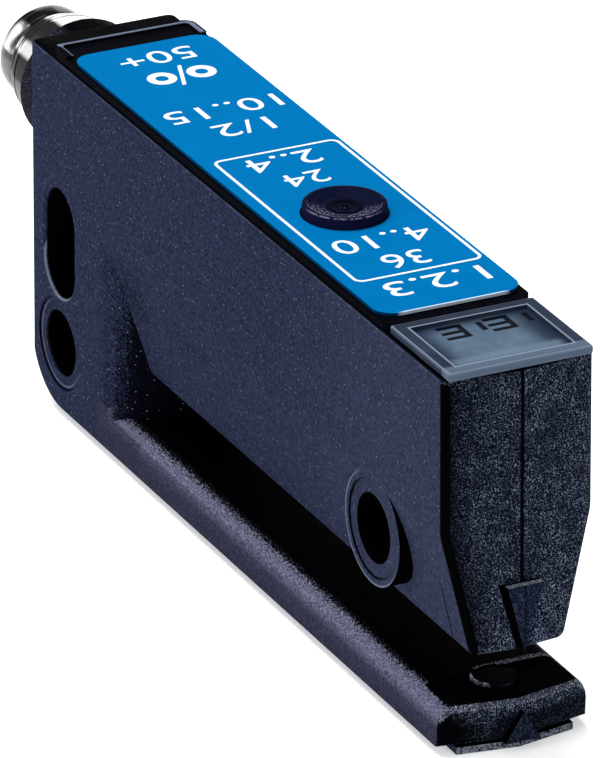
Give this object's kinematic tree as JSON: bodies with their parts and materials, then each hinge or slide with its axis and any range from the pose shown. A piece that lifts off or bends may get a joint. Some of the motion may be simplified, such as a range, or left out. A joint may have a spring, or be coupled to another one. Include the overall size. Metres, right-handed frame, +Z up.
{
  "type": "fork sensor",
  "caption": "Fork light barrier with a slotted black housing, blue top label, round teach button, clear indicator window, side mounting holes and a round metal connector.",
  "frame": {"origin": "middle of the part's bounding box, on the face of the arm cover that the part stands on", "axes": "+X along the housing towards the open end of the fork, +Y across, +Z up towards the label"},
  "size_m": [0.0674, 0.01, 0.0259],
  "materials": {
    "housing_plastic": "black glass-filled plastic with a spark-eroded grain",
    "cover_plastic": "smooth black plastic",
    "label_film": "blue printed foil",
    "window_plastic": "smoky clear plastic",
    "button_plastic": "smooth dark plastic",
    "seal_rubber": "matt",
    "switch_metal": "pressed sheet",
    "switch_plastic": "plain",
    "board_laminate": "green solder mask",
    "chip_plastic": "moulded package",
    "indicator_plastic": "clear lamp body",
    "flex_film": "amber film",
    "emitter_plastic": "dark clear dome",
    "lens_plastic": "dark red clear plastic",
    "connector_nickel": "bright nickel plating on turned brass",
    "insert_plastic": "plain",
    "contact_gold": "gold plated"
  },
  "bodies": {
    "sensor": {"housing": "housing_plastic", "arm_cover": "housing_plastic", "top_cover": "cover_plastic", "label_plate": "label_film", "indicator_window": "window_plastic", "button_seal": "seal_rubber", "switch_case": "switch_metal", "main_board": "board_laminate", "controller_chip": "chip_plastic", "driver_chip": "chip_plastic", "indicator_near": "indicator_plastic", "indicator_far": "indicator_plastic", "flex_link": "flex_film", "arm_board": "board_laminate", "emitter": "emitter_plastic", "receiver": "chip_plastic", "upper_lens": "lens_plastic", "lower_lens": "lens_plastic", "connector_shell": "connector_nickel", "connector_insert": "insert_plastic", "connector_seal": "seal_rubber", "contact_pin_1": "contact_gold", "contact_pin_2": "contact_gold", "contact_pin_3": "contact_gold", "contact_pin_4": "contact_gold"},
    "button": {"teach_button": "button_plastic", "switch_plunger": "switch_plastic"}
  },
  "joints": [
    {"name": "teach_button_press", "type": "slide", "parent": "sensor", "child": "button", "axis": [0, 0, -1], "range_m": [0, 0.0003], "stiffness_N_per_m": 1000, "springref_m": -0.0005}
  ]
}
